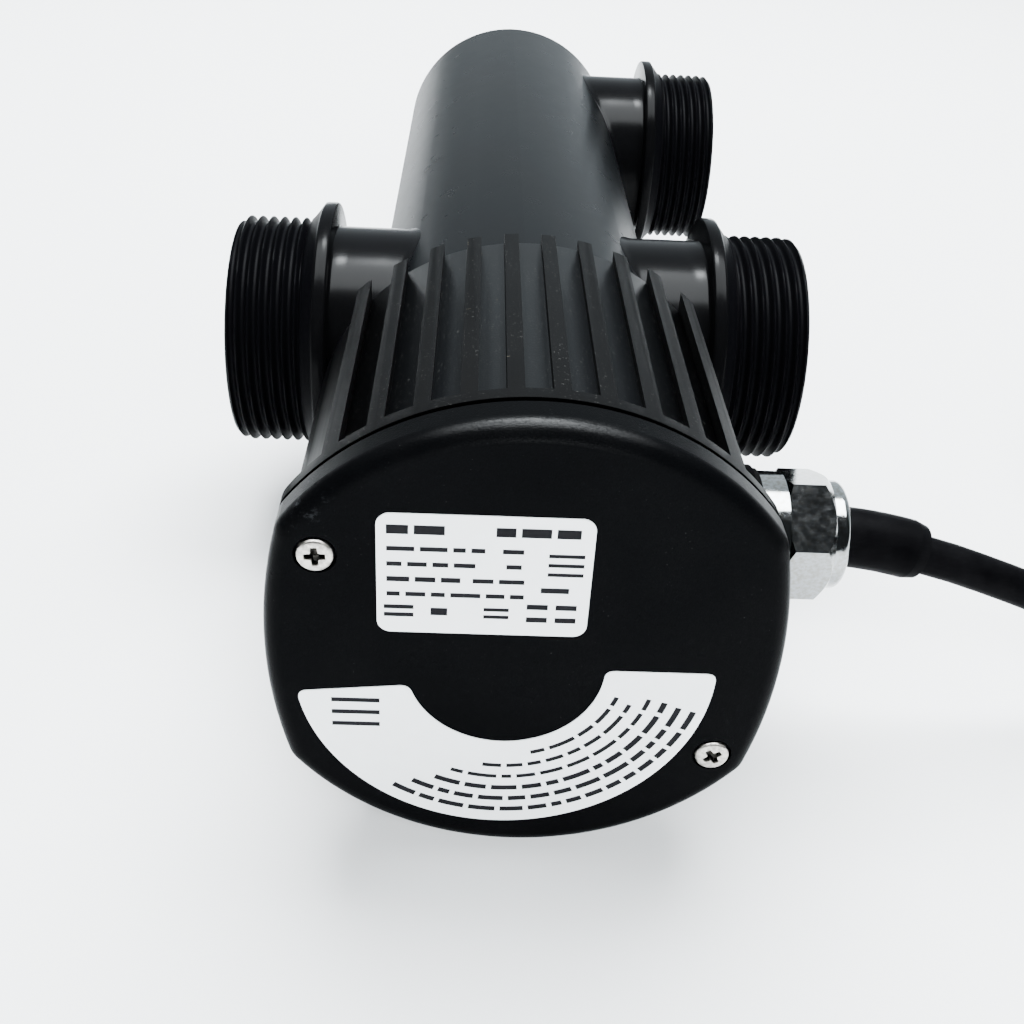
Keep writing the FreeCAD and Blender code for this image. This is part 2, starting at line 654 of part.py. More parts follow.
def build():
    os.makedirs("parts", exist_ok=True)
    save("front_cover", front_cover())
    save("cover_gasket", cover_gasket())
    save("cover_screws", group([cover_screw(x, z) for x, z in cover_screw_places()]))
    save("rating_label", rating_label())
    save("lower_label", lower_label())
    save("head_housing", head_housing())
    save("lamp_holder", lamp_holder())
    save("holder_screws", group([holder_screw(-22.2), holder_screw(22.2)]))
    save("lamp_base", lamp_base())
    save("lamp_pins", lamp_pins())
    save("lamp_glass", lamp_glass())
    save("ballast_board", ballast_board())
    save("board_screws", group([board_screw(-BOARD_SCREW_X), board_screw(BOARD_SCREW_X)]))
    save("choke_core", choke_core())
    save("choke_winding", choke_winding())
    save("capacitor", capacitor())
    save("terminal_block", terminal_block())
    save("terminal_screws", group([terminal_screw(i) for i in range(3)]))
    save("earth_tag", earth_tag())
    save("earth_screw", earth_screw())
    save("lead_live", mains_core(GLAND_Y - 1.3, 0.75, TERMINAL_Y[0] + 5, "lead_live"))
    save("lead_neutral", mains_core(GLAND_Y, -1.5, TERMINAL_Y[0] + 15, "lead_neutral"))
    save("lead_earth", earth_core())
    save("lamp_leads", group([lamp_lead(-1), lamp_lead(1)]))
    save("chamber_tube", chamber_tube())
    for node, (side, y) in PORTS.items():
        save(node, port(side, y))
    save("housing_o_ring", housing_o_ring())
    save("quartz_sleeve", quartz_sleeve())
    save("quartz_o_ring", quartz_o_ring())
    save("quartz_nut", quartz_nut())
    save("gland_washer", gland_washer())
    save("gland_body", gland_body())
    save("gland_seal", gland_seal())
    save("gland_slip_ring", gland_slip_ring())
    save("gland_nut", gland_nut())
    save("cable_boot", cable_boot())
    save("mains_cable", cord_tube(LEAD_ROUTE, CABLE_R, "mains_cable"))
    save("cable_coil", cable_coil())
    save("cable_tail", cord_tube(TAIL_ROUTE, CABLE_R, "cable_tail"))
    save("cable_tie", cable_tie())
    save("plug_body", plug_body())
    save("plug_pins", group([plug_pin(-1), plug_pin(1)]))
    save("plug_earth_strips", group([plug_earth_strip(-1), plug_earth_strip(1)]))


build()
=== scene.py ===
import math

import bmesh
import bpy
from mathutils import Matrix, Vector


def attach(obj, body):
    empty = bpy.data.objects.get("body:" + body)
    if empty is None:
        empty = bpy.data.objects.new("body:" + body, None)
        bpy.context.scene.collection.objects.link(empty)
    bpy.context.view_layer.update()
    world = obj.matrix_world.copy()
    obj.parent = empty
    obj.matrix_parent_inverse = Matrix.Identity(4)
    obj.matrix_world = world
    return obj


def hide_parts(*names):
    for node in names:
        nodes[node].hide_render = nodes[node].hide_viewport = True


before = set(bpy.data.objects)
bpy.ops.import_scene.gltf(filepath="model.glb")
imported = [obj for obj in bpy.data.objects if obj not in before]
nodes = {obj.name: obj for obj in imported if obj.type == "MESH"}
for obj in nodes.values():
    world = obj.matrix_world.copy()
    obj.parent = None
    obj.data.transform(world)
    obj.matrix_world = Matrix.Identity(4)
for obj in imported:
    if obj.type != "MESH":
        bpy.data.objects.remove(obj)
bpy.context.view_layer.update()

MM = 0.001
Y_MID = 132.625
AXIS_Z = 39.7


def at(x, y, z):
    """A place given from the cover's face and the chamber's axis, in millimetres, as a row-frame vector."""
    return Vector((x * MM, (y - Y_MID) * MM, (z + AXIS_Z) * MM))


# ---------------------------------------------------------------- camera

def add_camera():
    """The photograph's viewpoint, solved from the object's outline."""
    data = bpy.data.cameras.new("camera")
    data.sensor_fit = "HORIZONTAL"
    data.sensor_width = 36.0
    data.lens = 43.14
    data.clip_start = 0.01
    data.clip_end = 50.0
    data.dof.use_dof = False
    camera = bpy.data.objects.new("camera", data)
    bpy.context.scene.collection.objects.link(camera)
    right = Vector((0.99873, -0.01204, 0.04891))
    up = Vector((-0.03383, 0.55912, 0.82840))
    back = right.cross(up).normalized()
    up = back.cross(right.normalized())
    turn = Matrix((right.normalized(), up, back)).transposed()
    camera.matrix_world = Matrix.Translation(at(-9.423, -136.688, 118.232)) @ turn.to_4x4()
    bpy.context.scene.camera = camera


add_camera()

# ---------------------------------------------------------------- mains cable

CABLE_D = 6.9
FLOOR = -AXIS_Z
COIL_X = 190.0
COIL_Y = 95.0
COIL_MID_R = 38.0
COIL_COLUMNS = 6
COIL_LAYERS = 2
COIL_LIFT = 0.8
GLAND_Y = 35.5
PLUG = (236.5, 146.0, FLOOR + 19.0)


def coil_slot(i):
    """Radius and height of the i-th place in the wound bundle, layer by layer and back and forth."""
    layer = min(i // COIL_COLUMNS, COIL_LAYERS - 1)
    column = i - layer * COIL_COLUMNS
    if layer % 2:
        column = COIL_COLUMNS - 1 - column
    radius = COIL_MID_R + CABLE_D * ((COIL_COLUMNS - 1) / 2 - column)
    return radius, FLOOR + COIL_LIFT + CABLE_D * (layer + 0.5)


def coil_points():
    """Each turn keeps its place, then moves over once the turn after it has moved on."""
    per_turn = 20
    move_share = 0.065          # of a turn
    slots = COIL_COLUMNS * COIL_LAYERS
    total = (slots - 1) * per_turn + per_turn // 4
    points = []
    for step in range(1, total):
        turn = step // per_turn
        part = step / per_turn - turn
        begin = 0.27 + 0.72 * (slots - 2 - turn) / (slots - 1)
        move = min(1.0, max(0.0, (part - begin) / move_share))
        if turn >= slots - 1:
            move = 0.0
        r0, z0 = coil_slot(turn)
        r1, z1 = coil_slot(min(turn + 1, slots - 1))
        r = (r0 + (r1 - r0) * move) / math.cos(math.pi / per_turn)
        angle = 2 * math.pi * part - math.pi / 2
        points.append((COIL_X + r * math.cos(angle), COIL_Y + r * math.sin(angle), z0 + (z1 - z0) * move))
    return points


def cable_route():
    """From inside the gland down to the floor, round the coil and into the plug."""
    top = FLOOR + COIL_LIFT + CABLE_D * (COIL_LAYERS - 0.5)
    low = FLOOR + COIL_LIFT + CABLE_D / 2 + 0.1
    route = [(34.0, GLAND_Y, 0.0), (60.0, GLAND_Y, 0.0), (92.0, GLAND_Y, -10.7), (121.0, 36.0, -24.5)]
    route += [(148.0, 37.5, -33.6), (170.0, 40.0, low)]
    route += coil_points()
    edge = COIL_X + COIL_MID_R + CABLE_D * (COIL_COLUMNS - 1) / 2
    route += [(edge, COIL_Y + 4, top), (edge + 0.4, COIL_Y + 26, top + 0.3), PLUG]
    return route


def add_cable():
    """The whole mains lead as one round NURBS cord."""
    curve = bpy.data.curves.new("mains_cord", "CURVE")
    curve.dimensions = "3D"
    spline = curve.splines.new("NURBS")
    route = cable_route()
    spline.points.add(len(route) - 1)
    for point, place in zip(spline.points, route):
        point.co = (*at(*place), 1.0)
        point.radius = CABLE_D / 2 * MM
    spline.order_u = 3
    spline.use_endpoint_u = True
    spline.resolution_u = 6
    curve.bevel_depth = 1.0
    curve.bevel_resolution = 5
    curve.use_fill_caps = True
    cable = bpy.data.objects.new("mains_cord", curve)
    bpy.context.scene.collection.objects.link(cable)
    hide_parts("mains_cable", "cable_coil", "cable_tail")
    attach(cable, "head")
    return cable


cable = add_cable()

# ---------------------------------------------------------------- materials


class Shader:
    """A Principled material built up from procedural nodes in row-frame metres."""

    def __init__(self, name, rough, metal=0.0):
        self.mat = bpy.data.materials.new(name)
        self.mat.use_nodes = True
        self.tree = self.mat.node_tree
        self.bsdf = self.tree.nodes["Principled BSDF"]
        self.bsdf.inputs["Metallic"].default_value = metal
        self.bsdf.inputs["Roughness"].default_value = rough
        self.place = self.tree.nodes.new("ShaderNodeTexCoord").outputs["Object"]

    def link(self, a, b):
        self.tree.links.new(a, b)

    def noise(self, scale, detail=3.0, stretch=None, rough=0.55):
        """Noise with this many features a metre."""
        node = self.tree.nodes.new("ShaderNodeTexNoise")
        node.inputs["Scale"].default_value = scale
        node.inputs["Detail"].default_value = detail
        node.inputs["Roughness"].default_value = rough
        if stretch:
            mapping = self.tree.nodes.new("ShaderNodeMapping")
            mapping.inputs["Scale"].default_value = stretch
            self.link(self.place, mapping.inputs["Vector"])
            self.link(mapping.outputs["Vector"], node.inputs["Vector"])
        else:
            self.link(self.place, node.inputs["Vector"])
        return node.outputs["Fac"]

    def spread(self, value, low, high, out_low=0.0, out_high=1.0):
        """A value's range stretched to another one, held at its ends."""
        node = self.tree.nodes.new("ShaderNodeMapRange")
        node.inputs["From Min"].default_value = low
        node.inputs["From Max"].default_value = high
        node.inputs["To Min"].default_value = out_low
        node.inputs["To Max"].default_value = out_high
        self.link(value, node.inputs["Value"])
        return node.outputs["Result"]

    def mix(self, fac, a, b):
        node = self.tree.nodes.new("ShaderNodeMix")
        node.data_type = "RGBA"
        self.link(fac, node.inputs["Factor"])
        for value, socket in ((a, node.inputs[6]), (b, node.inputs[7])):
            if isinstance(value, tuple):
                socket.default_value = (*value, 1.0)
            else:
                self.link(value, socket)
        return node.outputs[2]

    def times(self, a, b):
        node = self.tree.nodes.new("ShaderNodeMath")
        node.operation = "MULTIPLY"
        self.link(a, node.inputs[0])
        if isinstance(b, float):
            node.inputs[1].default_value = b
        else:
            self.link(b, node.inputs[1])
        return node.outputs[0]

    def axis_radius(self, above=0.0):
        """Distance in metres from the chamber's axis, or from a line this many millimetres above it."""
        split = self.tree.nodes.new("ShaderNodeSeparateXYZ")
        self.link(self.place, split.inputs[0])
        lowered = self.tree.nodes.new("ShaderNodeMath")
        lowered.operation = "SUBTRACT"
        self.link(split.outputs["Z"], lowered.inputs[0])
        lowered.inputs[1].default_value = (AXIS_Z + above) * MM
        flat = self.tree.nodes.new("ShaderNodeCombineXYZ")
        self.link(split.outputs["X"], flat.inputs["X"])
        self.link(lowered.outputs[0], flat.inputs["Y"])
        length = self.tree.nodes.new("ShaderNodeVectorMath")
        length.operation = "LENGTH"
        self.link(flat.outputs[0], length.inputs[0])
        return length.outputs["Value"]

    def along(self, axis):
        """The place's X, Y or Z, in metres."""
        split = self.tree.nodes.new("ShaderNodeSeparateXYZ")
        self.link(self.place, split.inputs[0])
        return split.outputs[axis]

    def off_middle(self):
        """How far a place is to either side of the chamber's axis, in metres."""
        node = self.tree.nodes.new("ShaderNodeMath")
        node.operation = "ABSOLUTE"
        self.link(self.along("X"), node.inputs[0])
        return node.outputs[0]

    def near(self, centre, inner, outer):
        """1 within inner metres of a place, 0 beyond outer metres."""
        node = self.tree.nodes.new("ShaderNodeVectorMath")
        node.operation = "DISTANCE"
        self.link(self.place, node.inputs[0])
        node.inputs[1].default_value = centre
        return self.spread(node.outputs["Value"], inner, outer, 1.0, 0.0)

    def bump(self, height, strength, distance):
        """Adds one more layer of relief over any that is already there."""
        node = self.tree.nodes.new("ShaderNodeBump")
        node.inputs["Strength"].default_value = strength
        node.inputs["Distance"].default_value = distance
        self.link(height, node.inputs["Height"])
        before = self.bsdf.inputs["Normal"]
        if before.is_linked:
            self.link(before.links[0].from_socket, node.inputs["Normal"])
        self.link(node.outputs["Normal"], before)

    def color(self, value):
        self.link(value, self.bsdf.inputs["Base Color"])

    def rough(self, value):
        self.link(value, self.bsdf.inputs["Roughness"])

    def shine(self, value):
        socket = self.bsdf.inputs["Specular IOR Level"]
        if isinstance(value, float):
            socket.default_value = value
        else:
            self.link(value, socket)

    def shades(self, scale, dark, light, detail=4.0):
        """Slow changes between two tones."""
        return self.mix(self.spread(self.noise(scale, detail), 0.35, 0.68), dark, light)

    def specks(self, scale, low, high, patch_scale, patch_low, patch_high):
        """Fine specks that gather in patches."""
        fine = self.spread(self.noise(scale, 2.0), low, high)
        return self.times(fine, self.spread(self.noise(patch_scale, 3.0), patch_low, patch_high))


GRAIN_DEPTH = 0.00012
# Near black of the painted shadow at the joint between the cover and the head.
SHADOW = (0.0002, 0.0002, 0.0002)


def black_plastic(name, base, lift, rough, shine, grain=0.3, grain_scale=3200.0, dust=0.5, blotch=0.06, dull=1.0):
    """Moulded black plastic: slow shade changes, a fine grain, and dust caught in it; it may dull to the left."""
    s = Shader(name, rough)
    s.shine(s.spread(s.along("X"), -0.029, -0.010, shine * dull, shine))
    body = s.shades(45.0, base, lift)
    specks = s.spread(s.noise(2600.0, 2.0), 0.67, 0.74, 0.0, dust)
    patches = s.spread(s.noise(90.0, 3.0), 0.40, 0.62)
    dusty = tuple(8.0 * c + 0.02 for c in base)
    s.color(s.mix(s.times(specks, patches), body, dusty))
    s.rough(s.spread(s.noise(170.0, 4.0), 0.3, 0.7, rough - blotch, rough + blotch))
    s.bump(s.noise(grain_scale, 3.0), grain, GRAIN_DEPTH)
    return s.mat


def head_plastic():
    """The finned head: smooth in the slots and duller on the fins' faces and flanks, with painted shade in the outer
    slots and a painted shadow at the cover's joint.
    """
    s = Shader("head_black", 0.4)
    out = s.spread(s.axis_radius(), 0.0383, 0.0388)         # 1 on the fins' faces, 0 in the slots
    deep = s.spread(s.off_middle(), 0.013, 0.024)           # 1 in the outer slots
    slot_tone = s.shades(45.0, (0.0015, 0.0017, 0.0020), (0.0021, 0.0023, 0.0027))
    # Painted shade: the outer slots are painted near black.
    slot_tone = s.mix(deep, slot_tone, (0.0006, 0.0006, 0.0007))
    fin_tone = s.shades(60.0, (0.0012, 0.0012, 0.0013), (0.0018, 0.0018, 0.0019))
    body = s.mix(out, slot_tone, fin_tone)
    body = s.mix(s.specks(2300.0, 0.65, 0.73, 80.0, 0.40, 0.60), body, (0.034, 0.034, 0.032))
    threads = s.spread(s.noise(420.0, 2.0, (1.0, 6.0, 6.0)), 0.74, 0.78)
    lint = s.times(threads, s.spread(s.noise(70.0, 2.0), 0.5, 0.6))
    body = s.mix(lint, body, (0.09, 0.08, 0.06))
    # Painted shadow: the head's front rim at the joint with the cover is painted near black and loses its shine.
    lit = s.spread(s.along("Y"), at(0, 7.65, 0).y, at(0, 7.80, 0).y)
    s.color(s.mix(lit, SHADOW, body))
    s.rough(s.spread(out, 0.0, 1.0, 0.36, 0.50))
    flank = s.spread(s.off_middle(), 0.0325, 0.0345, 1.0, 0.08)
    shine = s.mix(out, s.spread(deep, 0.0, 1.0, 0.039, 0.012), (0.022, 0.022, 0.022))
    s.shine(s.times(s.times(shine, flank), lit))
    s.bump(s.noise(3000.0, 3.0), 0.10, GRAIN_DEPTH)
    return s.mat


def port_plastic():
    """Hose ports: satin necks, duller collars, and dull black thread."""
    s = Shader("port_black", 0.2)
    thread = s.spread(s.off_middle(), 0.0410, 0.0414)
    collar = s.spread(s.off_middle(), 0.0379, 0.0382, 1.0, 0.65)
    neck = s.shades(60.0, (0.0016, 0.0016, 0.0018), (0.0021, 0.0021, 0.0024), 3.0)
    s.color(s.mix(thread, neck, (0.0014, 0.0014, 0.0018)))
    s.rough(s.spread(thread, 0.0, 1.0, 0.20, 0.42))
    s.shine(s.times(s.spread(thread, 0.0, 1.0, 0.034, 0.018), collar))
    s.bump(s.noise(2600.0, 2.0), 0.03, 0.0001)
    return s.mat


def cover_plastic():
    """The cover: satin black with a sandy grain, shinier on top, with pale rub marks on its left shoulder and a
    painted shadow along its joint with the head.
    """
    s = Shader("cover_black", 0.30)
    front = s.spread(s.along("Y"), at(0, 2.0, 0).y, at(0, 3.0, 0).y, 1.0, 0.0)
    shoulder = s.times(s.spread(s.axis_radius(-4.3), 0.0413, 0.0421), front)
    grain = s.spread(s.noise(3600.0, 2.0), 0.36, 0.64, 0.4, 1.6)
    rubbed = s.times(s.times(s.near(at(0.6, 1.2, 38.0), 0.002, 0.016), shoulder), grain)
    # Painted shadow: the cover's back rim at the joint with the head is painted near black, without shine.
    lit = s.spread(s.along("Y"), at(0, 6.55, 0).y, at(0, 6.65, 0).y, 1.0, 0.0)
    s.shine(s.times(s.spread(rubbed, 0.0, 1.0, 0.010, 0.066), lit))
    body = s.shades(45.0, (0.0009, 0.0010, 0.0012), (0.0014, 0.0015, 0.0017))
    body = s.mix(s.times(s.specks(2600.0, 0.71, 0.77, 90.0, 0.46, 0.62), 0.7), body, (0.03, 0.03, 0.03))
    streak = s.spread(s.noise(560.0, 6.0, (0.7, 1.0, 1.1), 0.75), 0.56, 0.66)
    scuff = s.times(s.near(at(-32.3, 2.6, 27.4), 0.001, 0.0068), streak)
    body = s.mix(s.times(scuff, 0.7), body, (0.035, 0.037, 0.040))
    fine = s.spread(s.noise(1500.0, 3.0), 0.52, 0.62)
    scratch = s.times(s.near(at(-16.5, 4.2, 38.4), 0.0003, 0.0016), fine)
    body = s.mix(s.times(scratch, 0.7), body, (0.06, 0.06, 0.06))
    s.color(s.mix(lit, SHADOW, body))
    s.rough(s.spread(s.noise(170.0, 4.0), 0.3, 0.7, 0.27, 0.34))
    s.bump(s.noise(4200.0, 2.0), 0.38, 0.00010)
    return s.mat


def rubber(name, base, rough=0.55):
    """Dull black rubber or soft PVC."""
    s = Shader(name, rough)
    s.shine(0.005)
    s.color(s.mix(s.spread(s.noise(140.0, 3.0), 0.3, 0.7), base, tuple(c * 1.8 + 0.001 for c in base)))
    s.rough(s.spread(s.noise(400.0, 3.0), 0.3, 0.7, rough - 0.08, rough + 0.08))
    s.bump(s.noise(2400.0, 2.0), 0.12, 0.0001)
    return s.mat


def plated(name, base, dark, rough, uneven=0.12, pit=0.25):
    """Nickel plate, dulled and pitted by use."""
    s = Shader(name, rough, 1.0)
    worn = s.spread(s.noise(1500.0, 4.0), 0.36, 0.60)
    s.color(s.mix(worn, dark, base))
    s.rough(s.spread(s.noise(900.0, 4.0), 0.3, 0.7, max(0.02, rough - 0.6 * uneven), rough + uneven))
    s.bump(s.noise(2800.0, 3.0), pit, GRAIN_DEPTH)
    return s.mat


def plain(name, base, rough=0.5, metal=0.0, spread=0.08, shine=0.5):
    """One colour with slight shade changes."""
    s = Shader(name, rough, metal)
    s.shine(shine)
    low = tuple(c * (1 - spread) for c in base)
    s.color(s.mix(s.spread(s.noise(300.0, 3.0), 0.3, 0.7), low, base))
    s.rough(s.spread(s.noise(500.0, 3.0), 0.3, 0.7, rough - 0.05, rough + 0.05))
    s.bump(s.noise(1800.0, 2.0), 0.06, 0.0001)
    return s.mat


def clear(name, tint, rough=0.03):
    """Quartz or glass."""
    s = Shader(name, rough)
    s.bsdf.inputs["Transmission Weight"].default_value = 1.0
    s.bsdf.inputs["IOR"].default_value = 1.46
    s.color(s.mix(s.spread(s.noise(60.0, 2.0), 0.3, 0.7), tint, tuple(min(1.0, c * 1.02) for c in tint)))
    return s.mat


COVER = cover_plastic()
HEAD = head_plastic()
CHAMBER = black_plastic("chamber_black", (0.0019, 0.0022, 0.0026), (0.0022, 0.0025, 0.0029), 0.28, 0.032,
                        grain=0.03, grain_scale=2600.0, dust=0.0, blotch=0.008, dull=0.07)
PORT = port_plastic()
SEAL = rubber("seal_black", (0.0012, 0.0012, 0.0012), 0.6)
CORD = rubber("cord_black", (0.0011, 0.0011, 0.0013), 0.42)
PLUG_BLACK = black_plastic("plug_black", (0.0022, 0.0022, 0.0023), (0.0032, 0.0032, 0.0033), 0.4, 0.05)
NICKEL = plated("nickel_bright", (0.31, 0.325, 0.335), (0.24, 0.24, 0.225), 0.10, 0.05, 0.06)
SCREW = plated("screw_worn", (0.60, 0.57, 0.52), (0.30, 0.28, 0.26), 0.34, pit=0.2)
# Painted shade: near-black metal for the screws' cross recesses.
RECESS_SHADE = plated("screw_recess", (0.10, 0.095, 0.085), (0.02, 0.018, 0.015), 0.5, pit=0.4)
PIN = plated("pin_nickel", (0.66, 0.64, 0.60), (0.55, 0.53, 0.50), 0.16, 0.05, 0.03)
LABEL = plain("label_white", (0.88, 0.90, 0.91), 0.42, 0.0, 0.03)
WHITE = plain("cap_white", (0.75, 0.74, 0.71))
CLEAR = clear("quartz_clear", (0.95, 0.98, 0.99))

LOOKS = {
    "front_cover": COVER, "head_housing": HEAD, "chamber_tube": CHAMBER, "port_front_left": PORT,
    "port_front_right": PORT, "port_rear_right": PORT, "cover_gasket": SEAL, "housing_o_ring": SEAL,
    "quartz_o_ring": SEAL, "gland_washer": SEAL, "gland_seal": SEAL, "cable_boot": CORD, "cover_screws": SCREW,
    "holder_screws": SCREW, "board_screws": SCREW, "terminal_screws": SCREW, "earth_screw": SCREW,
    "rating_label": LABEL, "lower_label": LABEL, "gland_body": NICKEL, "gland_nut": NICKEL,
    "plug_body": PLUG_BLACK, "plug_pins": PIN, "plug_earth_strips": PIN, "cable_tie": PLUG_BLACK,
    "lamp_base": WHITE, "lamp_holder": WHITE, "terminal_block": plain("terminal_cream", (0.68, 0.64, 0.5)),
    "lamp_pins": PIN, "lamp_glass": CLEAR, "quartz_sleeve": CLEAR, "quartz_nut": PLUG_BLACK,
    "gland_slip_ring": plain("nylon_natural", (0.7, 0.7, 0.66)),
    "ballast_board": plain("board_brown", (0.26, 0.19, 0.08), 0.45, 0.0, 0.25),
    "choke_core": plain("core_steel", (0.45, 0.45, 0.45), 0.4, 1.0, 0.3),
    "choke_winding": plain("winding_copper", (0.62, 0.30, 0.12), 0.3, 1.0, 0.3),
    "capacitor": plain("capacitor_red", (0.5, 0.1, 0.05), 0.3),
    "earth_tag": plain("tag_steel", (0.6, 0.6, 0.6), 0.35, 1.0, 0.2),
    "lead_live": plain("wire_brown", (0.16, 0.06, 0.025), 0.4),
    "lead_neutral": plain("wire_blue", (0.02, 0.08, 0.36), 0.4),
    "lead_earth": plain("wire_green", (0.16, 0.38, 0.05), 0.4),
    "lamp_leads": plain("wire_white", (0.7, 0.7, 0.7), 0.4),
}


def dress(obj, mat):
    obj.data.materials.clear()
    obj.data.materials.append(mat)


for name, mat in LOOKS.items():
    dress(nodes[name], mat)
dress(cable, CORD)

# ---------------------------------------------------------------- hose ports

TUBE_R = 30.8
NECK_R = 22.4
NECK_END = 38.3
COLLAR_R = 27.3
CONE_END = 43.6             # the collar slopes down to the thread here
THREAD_START = 45.8
THREAD_PITCH = 2.309
THREAD_CREST = 23.9
THREAD_ROOT = 22.5
THREAD_STEPS = 84
RUN_OUT = (43.4, 0.9)       # where the groove begins to deepen, and over how far
PORT_END = 58.8
CHAMFER = (22.5, 1.05)      # radius at the port's end, and its growth inwards
PORT_BORE_R = 18.5
PORT_RELIEF_X = 30.0        # the bore widens a little from here to the chamber
PORT_RELIEF_R = 19.2
INNER_WALL_R = 28.06        # just clear of the chamber's bore
PORTS = {"port_front_left": (-1, 106.9), "port_front_right": (1, 106.9), "port_rear_right": (1, 238.45)}


def new_piece(name, verts, faces, mat, sharp=35.0):
    """A smooth-shaded mesh object from places in millimetres, creased where it turns sharply."""
    mesh = bpy.data.meshes.new(name)
    mesh.from_pydata([at(*v) for v in verts], [], faces)
    bm = bmesh.new()
    bm.from_mesh(mesh)
    bmesh.ops.recalc_face_normals(bm, faces=bm.faces)
    bm.to_mesh(mesh)
    bm.free()
    mesh.shade_smooth()
    mesh.set_sharp_from_angle(angle=math.radians(sharp))
    obj = bpy.data.objects.new(name, mesh)
    bpy.context.scene.collection.objects.link(obj)
    dress(obj, mat)
    return obj


def saddle(tube_r, r, angle):
    """How far out a port's wall of radius r leaves a tube of radius tube_r."""
    return math.sqrt(tube_r * tube_r - (r * math.sin(angle)) ** 2)


def thread_radius(x, angle):
    """A right-handed rounded thread that runs out at the cone and is chamfered at the port's end."""
    turn = (x - THREAD_START) / THREAD_PITCH - angle / (2 * math.pi)
    ramp = min(1.0, max(0.0, 1.2 - 2.4 * abs((turn % 1.0) - 0.5)))
    depth = ramp * ramp * (3 - 2 * ramp)
    fade = min(1.0, max(0.0, (x - RUN_OUT[0]) / RUN_OUT[1]))
    cut = THREAD_CREST - (THREAD_CREST - THREAD_ROOT) * depth * fade
    return min(cut, CHAMFER[0] + CHAMFER[1] * (PORT_END - x))


def port_rows(angle):
    """Distance out and radius of each ring of the port's skin at this angle, once round its wall."""
    rows = [(saddle(INNER_WALL_R, NECK_R, angle), NECK_R), (saddle(30.6, 22.75, angle), 22.75)]
    weld = saddle(TUBE_R, NECK_R, angle)
    rows += [(weld + 0.25, 22.6), (weld + 0.6, 22.5), (weld + 1.0, 22.43), (weld + 1.6, NECK_R)]
    first = rows[-1][0]
    rows += [(first + (NECK_END - first) * i / 4, NECK_R) for i in range(1, 4)]
    rows += [(38.0, NECK_R), (NECK_END, 22.55), (38.4, 22.9), (38.4, 26.8), (38.5, 27.15)]
    rows += [(38.8, COLLAR_R), (40.6, COLLAR_R), (40.95, 27.2), (41.15, 26.9)]
    rows += [(41.9, 25.9), (42.7, 24.9), (43.3, 24.2), (CONE_END, 23.95)]
    for i in range(1, THREAD_STEPS):
        x = CONE_END + (PORT_END - CONE_END) * i / THREAD_STEPS
        rows.append((x, thread_radius(x, angle)))
    rows += [(PORT_END - 0.06, 22.2), (PORT_END, 22.0), (PORT_END, 19.0), (PORT_END - 0.1, 18.65)]
    inside = PORT_END - 0.4
    rows += [(inside + (PORT_RELIEF_X - inside) * i / 8, PORT_BORE_R) for i in range(9)]
    rows += [(PORT_RELIEF_X, PORT_RELIEF_R), (saddle(INNER_WALL_R, PORT_RELIEF_R, angle), PORT_RELIEF_R)]
    return rows


def add_port(name, side, y):
    """One port, lofted round its axis; side is -1 on the left and 1 on the right."""
    around = 144
    verts = []
    for j in range(around):
        angle = 2 * math.pi * j / around
        for x, r in port_rows(angle):
            verts.append((side * x, y + r * math.cos(angle), side * r * math.sin(angle)))
    count = len(verts) // around
    faces = []
    for j in range(around):
        a, b = j * count, (j + 1) % around * count
        for i in range(count):
            k = (i + 1) % count
            faces.append((a + i, b + i, b + k, a + k))
    port = new_piece(name + "_threaded", verts, faces, PORT, 50.0)
    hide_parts(name)
    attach(port, "chamber")


for port_name, (port_side, port_y) in PORTS.items():
    add_port(port_name, port_side, port_y)

# ---------------------------------------------------------------- finned head


def softened_copy(name, source, body, mat, width):
    """The same solid with its hard edges rounded a little, as a moulding's are."""
    bm = bmesh.new()
    bm.from_mesh(nodes[source].data)
    bmesh.ops.remove_doubles(bm, verts=bm.verts, dist=2e-6)
    bmesh.ops.dissolve_limit(bm, angle_limit=math.radians(0.5), verts=bm.verts, edges=bm.edges)
    mesh = bpy.data.meshes.new(name)
    bm.to_mesh(mesh)
    bm.free()
    obj = bpy.data.objects.new(name, mesh)
    bpy.context.scene.collection.objects.link(obj)
    bevel = obj.modifiers.new("bevel", "BEVEL")
    bevel.width = width * MM
    bevel.segments = 2
    bevel.limit_method = "ANGLE"
    bevel.angle_limit = math.radians(38)
    bevel.use_clamp_overlap = True
    bevel.harden_normals = False
    mesh.shade_smooth()
    mesh.set_sharp_from_angle(angle=math.radians(60))
    dress(obj, mat)
    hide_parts(source)
    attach(obj, body)


softened_copy("finned_head", "head_housing", "head", HEAD, 0.22)

# ---------------------------------------------------------------- cover screws

HEADS = ((-30.0, 18.0, 0.05), (30.0, -18.0, 0.62))      # across, up, and how far the cross is turned
HEAD_FLAT_R = 2.25


def cross_depth(u, v, turn):
    """How deep a cross-head driver's recess is at a place on the screw's head."""
    c, d = math.cos(turn), math.sin(turn)
    u, v = u * c + v * d, v * c - u * d
    deepest = 0.0
    for along, across in ((abs(u), abs(v)), (abs(v), abs(u))):
        half = 0.60 - 0.12 * along
        inside = min(1.0, max(0.0, (half - across) / 0.10)) * min(1.0, max(0.0, (1.5 - along) / 0.16))
        deepest = max(deepest, inside * (1.45 - 0.34 * along))
    return deepest


